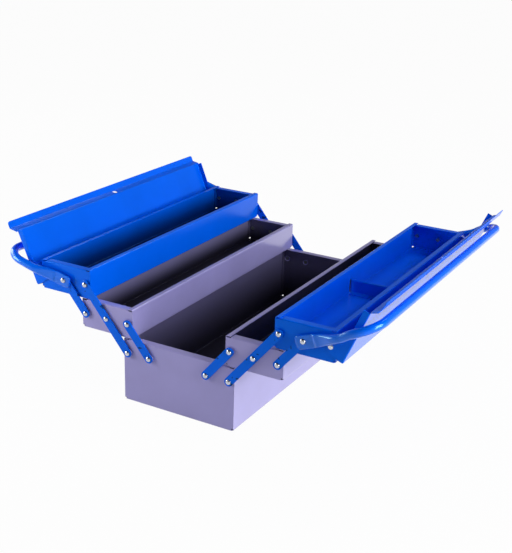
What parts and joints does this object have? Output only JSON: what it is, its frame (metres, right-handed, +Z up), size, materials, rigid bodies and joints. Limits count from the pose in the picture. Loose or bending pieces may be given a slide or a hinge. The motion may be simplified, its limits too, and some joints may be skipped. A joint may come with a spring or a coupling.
{
  "type": "cantilever tool box",
  "caption": "Sheet-metal cantilever tool box shown open: deep box, stacked side trays on swinging arms, hinged lids with lock holes, and bent-tube handles.",
  "frame": {"origin": "on the ground under the middle of the deep box", "axes": "+X across the trays to the side with the divided tray, +Y along the box, +Z up"},
  "size_m": [0.6566, 0.569, 0.2546],
  "materials": {
    "grey_paint": "smooth semi-gloss lilac-grey paint on sheet steel",
    "blue_paint": "smooth glossy blue paint on sheet steel and tube",
    "bright_steel": "bright plated steel rivets"
  },
  "bodies": {
    "box": {"box_shell": "grey_paint", "box_front_end": "grey_paint", "box_back_end": "grey_paint", "box_rivets": "bright_steel"},
    "left_long_arms": {"left_front_long_arm": "blue_paint", "left_back_long_arm": "blue_paint"},
    "left_lower_arms": {"left_front_lower_arm": "blue_paint", "left_back_lower_arm": "blue_paint"},
    "left_mid_tray": {"left_mid_tray_shell": "grey_paint", "left_mid_tray_front_end": "grey_paint", "left_mid_tray_back_end": "grey_paint", "left_mid_tray_rivets": "bright_steel"},
    "left_upper_arms": {"left_front_upper_arm": "blue_paint", "left_back_upper_arm": "blue_paint"},
    "left_top_tray": {"left_top_tray_shell": "blue_paint", "left_top_tray_front_end": "blue_paint", "left_top_tray_back_end": "blue_paint", "left_top_tray_rivets": "bright_steel", "left_lid_rivets": "bright_steel"},
    "left_lid_body": {"left_lid": "blue_paint"},
    "left_handle_body": {"left_handle_grip": "blue_paint", "left_handle_front_side": "blue_paint", "left_handle_back_side": "blue_paint"},
    "right_long_arms": {"right_front_long_arm": "blue_paint", "right_back_long_arm": "blue_paint"},
    "right_lower_arms": {"right_front_lower_arm": "blue_paint", "right_back_lower_arm": "blue_paint"},
    "right_mid_tray": {"right_mid_tray_shell": "grey_paint", "right_mid_tray_front_end": "grey_paint", "right_mid_tray_back_end": "grey_paint", "right_mid_tray_rivets": "bright_steel"},
    "right_upper_arms": {"right_front_upper_arm": "blue_paint", "right_back_upper_arm": "blue_paint"},
    "right_top_tray": {"right_top_tray_shell": "blue_paint", "right_top_tray_front_end": "blue_paint", "right_top_tray_back_end": "blue_paint", "right_top_tray_rivets": "bright_steel", "right_lid_rivets": "bright_steel", "right_divider": "blue_paint"},
    "right_lid_body": {"right_lid": "blue_paint"},
    "right_handle_body": {"right_handle_grip": "blue_paint", "right_handle_front_side": "blue_paint", "right_handle_back_side": "blue_paint"}
  },
  "joints": [
    {"name": "left_arm_swing", "type": "hinge", "parent": "box", "child": "left_long_arms", "pos_m": [-0.09175, 0, 0.0819], "axis": [0, -1, 0], "range_deg": [-79, 0]},
    {"name": "left_lower_arm_swing", "type": "hinge", "parent": "box", "child": "left_lower_arms", "pos_m": [-0.05175, 0, 0.0819], "axis": [0, -1, 0], "range_deg": [-79, 0]},
    {"name": "left_mid_tray_level", "type": "hinge", "parent": "left_long_arms", "child": "left_mid_tray", "pos_m": [-0.13175, 0, 0.1304], "axis": [0, -1, 0], "range_deg": [0, 79]},
    {"name": "left_upper_arm_swing", "type": "hinge", "parent": "left_mid_tray", "child": "left_upper_arms", "pos_m": [-0.17175, 0, 0.1304], "axis": [0, -1, 0], "range_deg": [-79, 0]},
    {"name": "left_top_tray_level", "type": "hinge", "parent": "left_long_arms", "child": "left_top_tray", "pos_m": [-0.17175, 0, 0.1789], "axis": [0, -1, 0], "range_deg": [0, 79]},
    {"name": "left_lid_swing", "type": "hinge", "parent": "left_top_tray", "child": "left_lid_body", "pos_m": [-0.25175, 0, 0.1789], "axis": [0, -1, 0], "range_deg": [-113, 0]},
    {"name": "left_handle_swing", "type": "hinge", "parent": "left_top_tray", "child": "left_handle_body", "pos_m": [-0.21175, 0, 0.1789], "axis": [0, -1, 0], "range_deg": [-99.71, 0]},
    {"name": "right_arm_swing", "type": "hinge", "parent": "box", "child": "right_long_arms", "pos_m": [0.09175, 0, 0.0819], "axis": [0, 1, 0], "range_deg": [-79, 0]},
    {"name": "right_lower_arm_swing", "type": "hinge", "parent": "box", "child": "right_lower_arms", "pos_m": [0.05175, 0, 0.0819], "axis": [0, 1, 0], "range_deg": [-79, 0]},
    {"name": "right_mid_tray_level", "type": "hinge", "parent": "right_long_arms", "child": "right_mid_tray", "pos_m": [0.13175, 0, 0.1304], "axis": [0, 1, 0], "range_deg": [0, 79]},
    {"name": "right_upper_arm_swing", "type": "hinge", "parent": "right_mid_tray", "child": "right_upper_arms", "pos_m": [0.17175, 0, 0.1304], "axis": [0, 1, 0], "range_deg": [-79, 0]},
    {"name": "right_top_tray_level", "type": "hinge", "parent": "right_long_arms", "child": "right_top_tray", "pos_m": [0.17175, 0, 0.1789], "axis": [0, 1, 0], "range_deg": [0, 79]},
    {"name": "right_lid_swing", "type": "hinge", "parent": "right_top_tray", "child": "right_lid_body", "pos_m": [0.25175, 0, 0.1789], "axis": [0, 1, 0], "range_deg": [-113, 0]},
    {"name": "right_handle_swing", "type": "hinge", "parent": "right_top_tray", "child": "right_handle_body", "pos_m": [0.21175, 0, 0.1789], "axis": [0, 1, 0], "range_deg": [-90.21, 0]}
  ],
  "couplings": [
    {"joint": "left_lower_arm_swing", "follows": "left_arm_swing", "ratio": 1},
    {"joint": "left_mid_tray_level", "follows": "left_arm_swing", "ratio": -1},
    {"joint": "left_upper_arm_swing", "follows": "left_arm_swing", "ratio": 1},
    {"joint": "left_top_tray_level", "follows": "left_arm_swing", "ratio": -1},
    {"joint": "left_handle_swing", "follows": "left_lid_swing", "ratio": 0.8823},
    {"joint": "right_lower_arm_swing", "follows": "right_arm_swing", "ratio": 1},
    {"joint": "right_mid_tray_level", "follows": "right_arm_swing", "ratio": -1},
    {"joint": "right_upper_arm_swing", "follows": "right_arm_swing", "ratio": 1},
    {"joint": "right_top_tray_level", "follows": "right_arm_swing", "ratio": -1},
    {"joint": "right_handle_swing", "follows": "right_lid_swing", "ratio": 0.79823}
  ]
}
